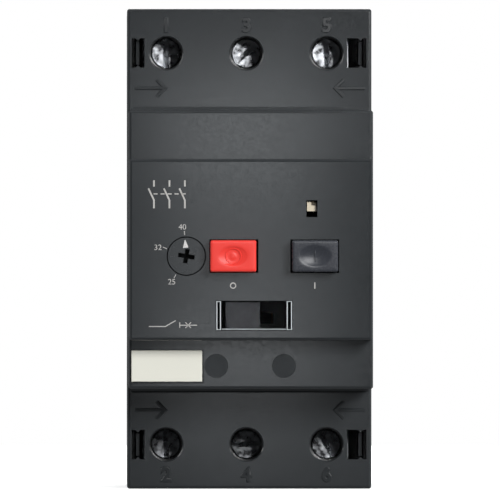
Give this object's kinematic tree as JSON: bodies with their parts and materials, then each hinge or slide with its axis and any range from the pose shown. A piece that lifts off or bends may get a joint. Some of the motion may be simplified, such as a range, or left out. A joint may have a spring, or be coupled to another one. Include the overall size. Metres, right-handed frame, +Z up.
{
  "type": "motor protection breaker",
  "caption": "Three-pole motor protection circuit breaker with STOP and START push buttons, current setting dial, indicator window, box terminals and a sprung clip for 35 mm rail.",
  "frame": {"origin": "centre of the rail seat, the face of the channel that lies on the front of a 35 mm rail", "axes": "front faces -Y, +Z up, +X to the right as the user sees the front"},
  "size_m": [0.067, 0.092, 0.1316],
  "materials": {
    "casing_rear": "moulded, fine matte texture",
    "casing_front": "moulded, fine matte texture",
    "cover": "moulded, fine matte texture",
    "label": "smooth cream label",
    "plug": "moulded, darker",
    "lens": "clear moulded window",
    "stop_red": "satin red",
    "start_grey": "satin dark grey",
    "dial_grey": "satin dark grey",
    "flag_grey": "matte",
    "ivory": "ivory moulding",
    "screw_steel": "bright zinc plated",
    "cage_steel": "zinc plated",
    "spring_steel": "bright spring wire",
    "arc_steel": "plain steel",
    "copper": "bright copper",
    "silver": "silver contact alloy",
    "carrier_black": "thermoset moulding",
    "fibre": "vulcanised fibre",
    "bimetal": "bimetal",
    "clip_black": "moulded"
  },
  "bodies": {
    "casing": {"rear_housing": "casing_rear", "front_housing": "casing_front", "front_cover": "cover", "label_plate": "label", "sealing_plugs": "plug", "window_lens": "lens", "line_bar_1": "copper", "line_bar_2": "copper", "line_bar_3": "copper", "load_bar_1": "copper", "load_bar_2": "copper", "load_bar_3": "copper", "coil_bars": "copper", "fixed_tips": "silver", "line_arc_plates": "arc_steel", "load_arc_plates": "arc_steel", "arc_chute_sides": "fibre", "magnet_coils": "copper", "magnet_yokes": "arc_steel", "bimetal_strips": "bimetal", "heater_coils": "copper", "mechanism_frame": "arc_steel", "pivot_pins": "arc_steel", "stop_spring": "spring_steel", "start_spring": "spring_steel", "carrier_spring": "spring_steel", "plunger_spring_1": "spring_steel", "plunger_spring_2": "spring_steel", "plunger_spring_3": "spring_steel", "trip_spring": "spring_steel", "din_clip_spring": "spring_steel"},
    "stop_button": {"stop_button": "stop_red"},
    "start_button": {"start_button": "start_grey"},
    "contact_carrier": {"contact_carrier": "carrier_black", "contact_bridges": "copper", "contact_springs": "spring_steel"},
    "status_flag": {"status_flag": "flag_grey"},
    "setting_dial": {"setting_dial": "dial_grey"},
    "setting_lever": {"setting_lever": "ivory"},
    "test_slider": {"test_slider": "ivory"},
    "trip_shaft": {"trip_shaft": "ivory"},
    "differential_bar": {"differential_bar": "ivory"},
    "latch_lever": {"latch_lever": "arc_steel"},
    "din_clip": {"din_clip": "clip_black"},
    "line_screw_1": {"line_screw_1": "screw_steel"},
    "line_cage_1": {"line_cage_1": "cage_steel"},
    "line_screw_2": {"line_screw_2": "screw_steel"},
    "line_cage_2": {"line_cage_2": "cage_steel"},
    "line_screw_3": {"line_screw_3": "screw_steel"},
    "line_cage_3": {"line_cage_3": "cage_steel"},
    "load_screw_1": {"load_screw_1": "screw_steel"},
    "load_cage_1": {"load_cage_1": "cage_steel"},
    "load_screw_2": {"load_screw_2": "screw_steel"},
    "load_cage_2": {"load_cage_2": "cage_steel"},
    "load_screw_3": {"load_screw_3": "screw_steel"},
    "load_cage_3": {"load_cage_3": "cage_steel"},
    "plunger_1": {"plunger_1": "arc_steel"},
    "plunger_2": {"plunger_2": "arc_steel"},
    "plunger_3": {"plunger_3": "arc_steel"}
  },
  "joints": [
    {"name": "stop_button_slide", "type": "slide", "parent": "casing", "child": "stop_button", "axis": [0, 1, 0], "range_m": [0, 0.003], "stiffness_N_per_m": 900, "springref_m": -0.001, "deforming": ["stop_spring"]},
    {"name": "start_button_slide", "type": "slide", "parent": "casing", "child": "start_button", "axis": [0, 1, 0], "range_m": [0, 0.004], "stiffness_N_per_m": 900, "springref_m": -0.001, "deforming": ["start_spring"]},
    {"name": "contact_carrier_slide", "type": "slide", "parent": "casing", "child": "contact_carrier", "axis": [0, 1, 0], "range_m": [0, 0.004], "stiffness_N_per_m": 700, "springref_m": -0.001, "deforming": ["carrier_spring"]},
    {"name": "status_flag_slide", "type": "slide", "parent": "casing", "child": "status_flag", "axis": [1, 0, 0], "range_m": [0, 0.007]},
    {"name": "latch_lever_turn", "type": "hinge", "parent": "casing", "child": "latch_lever", "pos_m": [-0.0047, -0.066, 0.008], "axis": [1, 0, 0], "range_deg": [0, 16.67]},
    {"name": "setting_dial_turn", "type": "hinge", "parent": "casing", "child": "setting_dial", "pos_m": [-0.0174, -0.082, -0.002], "axis": [0, -1, 0], "range_deg": [0, 146]},
    {"name": "setting_lever_turn", "type": "hinge", "parent": "casing", "child": "setting_lever", "pos_m": [-0.025, -0.062, -0.016], "axis": [0, -1, 0], "range_deg": [0, 5]},
    {"name": "test_slider_slide", "type": "slide", "parent": "casing", "child": "test_slider", "axis": [0, 0, -1], "range_m": [0, 0.0015], "stiffness_N_per_m": 300, "springref_m": -0.001},
    {"name": "trip_shaft_turn", "type": "hinge", "parent": "casing", "child": "trip_shaft", "pos_m": [0, -0.0385, -0.038], "axis": [1, 0, 0], "range_deg": [0, 3.79], "deforming": ["trip_spring"]},
    {"name": "differential_bar_slide", "type": "slide", "parent": "casing", "child": "differential_bar", "axis": [-1, 0, 0], "range_m": [0, 0.0015], "stiffness_N_per_m": 60, "springref_m": -0.0005},
    {"name": "din_clip_slide", "type": "slide", "parent": "casing", "child": "din_clip", "axis": [0, 0, -1], "range_m": [0, 0.004], "stiffness_N_per_m": 2500, "springref_m": -0.002, "deforming": ["din_clip_spring"]},
    {"name": "line_screw_1_turn", "type": "hinge", "parent": "casing", "child": "line_screw_1", "pos_m": [-0.0228, -0.051, 0.0536], "axis": [0, 1, 0], "range_deg": [0, 2160]},
    {"name": "line_cage_1_slide", "type": "slide", "parent": "casing", "child": "line_cage_1", "axis": [0, -1, 0], "range_m": [0, 0.006]},
    {"name": "line_screw_2_turn", "type": "hinge", "parent": "casing", "child": "line_screw_2", "pos_m": [-0.0008, -0.051, 0.0536], "axis": [0, 1, 0], "range_deg": [0, 2160]},
    {"name": "line_cage_2_slide", "type": "slide", "parent": "casing", "child": "line_cage_2", "axis": [0, -1, 0], "range_m": [0, 0.006]},
    {"name": "line_screw_3_turn", "type": "hinge", "parent": "casing", "child": "line_screw_3", "pos_m": [0.0212, -0.051, 0.0536], "axis": [0, 1, 0], "range_deg": [0, 2160]},
    {"name": "line_cage_3_slide", "type": "slide", "parent": "casing", "child": "line_cage_3", "axis": [0, -1, 0], "range_m": [0, 0.006]},
    {"name": "load_screw_1_turn", "type": "hinge", "parent": "casing", "child": "load_screw_1", "pos_m": [-0.0228, -0.051, -0.0536], "axis": [0, 1, 0], "range_deg": [0, 2160]},
    {"name": "load_cage_1_slide", "type": "slide", "parent": "casing", "child": "load_cage_1", "axis": [0, -1, 0], "range_m": [0, 0.006]},
    {"name": "load_screw_2_turn", "type": "hinge", "parent": "casing", "child": "load_screw_2", "pos_m": [-0.0008, -0.051, -0.0536], "axis": [0, 1, 0], "range_deg": [0, 2160]},
    {"name": "load_cage_2_slide", "type": "slide", "parent": "casing", "child": "load_cage_2", "axis": [0, -1, 0], "range_m": [0, 0.006]},
    {"name": "load_screw_3_turn", "type": "hinge", "parent": "casing", "child": "load_screw_3", "pos_m": [0.0212, -0.051, -0.0536], "axis": [0, 1, 0], "range_deg": [0, 2160]},
    {"name": "load_cage_3_slide", "type": "slide", "parent": "casing", "child": "load_cage_3", "axis": [0, -1, 0], "range_m": [0, 0.006]},
    {"name": "plunger_1_slide", "type": "slide", "parent": "casing", "child": "plunger_1", "axis": [0, -1, 0], "range_m": [0, 0.003], "stiffness_N_per_m": 150, "springref_m": -0.002, "deforming": ["plunger_spring_1"]},
    {"name": "plunger_2_slide", "type": "slide", "parent": "casing", "child": "plunger_2", "axis": [0, -1, 0], "range_m": [0, 0.003], "stiffness_N_per_m": 150, "springref_m": -0.002, "deforming": ["plunger_spring_2"]},
    {"name": "plunger_3_slide", "type": "slide", "parent": "casing", "child": "plunger_3", "axis": [0, -1, 0], "range_m": [0, 0.003], "stiffness_N_per_m": 150, "springref_m": -0.002, "deforming": ["plunger_spring_3"]}
  ],
  "couplings": [
    {"joint": "contact_carrier_slide", "follows": "start_button_slide", "ratio": 1},
    {"joint": "status_flag_slide", "follows": "start_button_slide", "ratio": 1.75},
    {"joint": "latch_lever_turn", "follows": "stop_button_slide", "rad_per_m": 96.667},
    {"joint": "setting_lever_turn", "follows": "setting_dial_turn", "ratio": 0.03388},
    {"joint": "trip_shaft_turn", "follows": "test_slider_slide", "rad_per_m": 43.478},
    {"joint": "line_screw_1_turn", "follows": "line_cage_1_slide", "rad_per_m": 6283.1},
    {"joint": "line_screw_2_turn", "follows": "line_cage_2_slide", "rad_per_m": 6283.1},
    {"joint": "line_screw_3_turn", "follows": "line_cage_3_slide", "rad_per_m": 6283.1},
    {"joint": "load_screw_1_turn", "follows": "load_cage_1_slide", "rad_per_m": 6283.1},
    {"joint": "load_screw_2_turn", "follows": "load_cage_2_slide", "rad_per_m": 6283.1},
    {"joint": "load_screw_3_turn", "follows": "load_cage_3_slide", "rad_per_m": 6283.1}
  ]
}
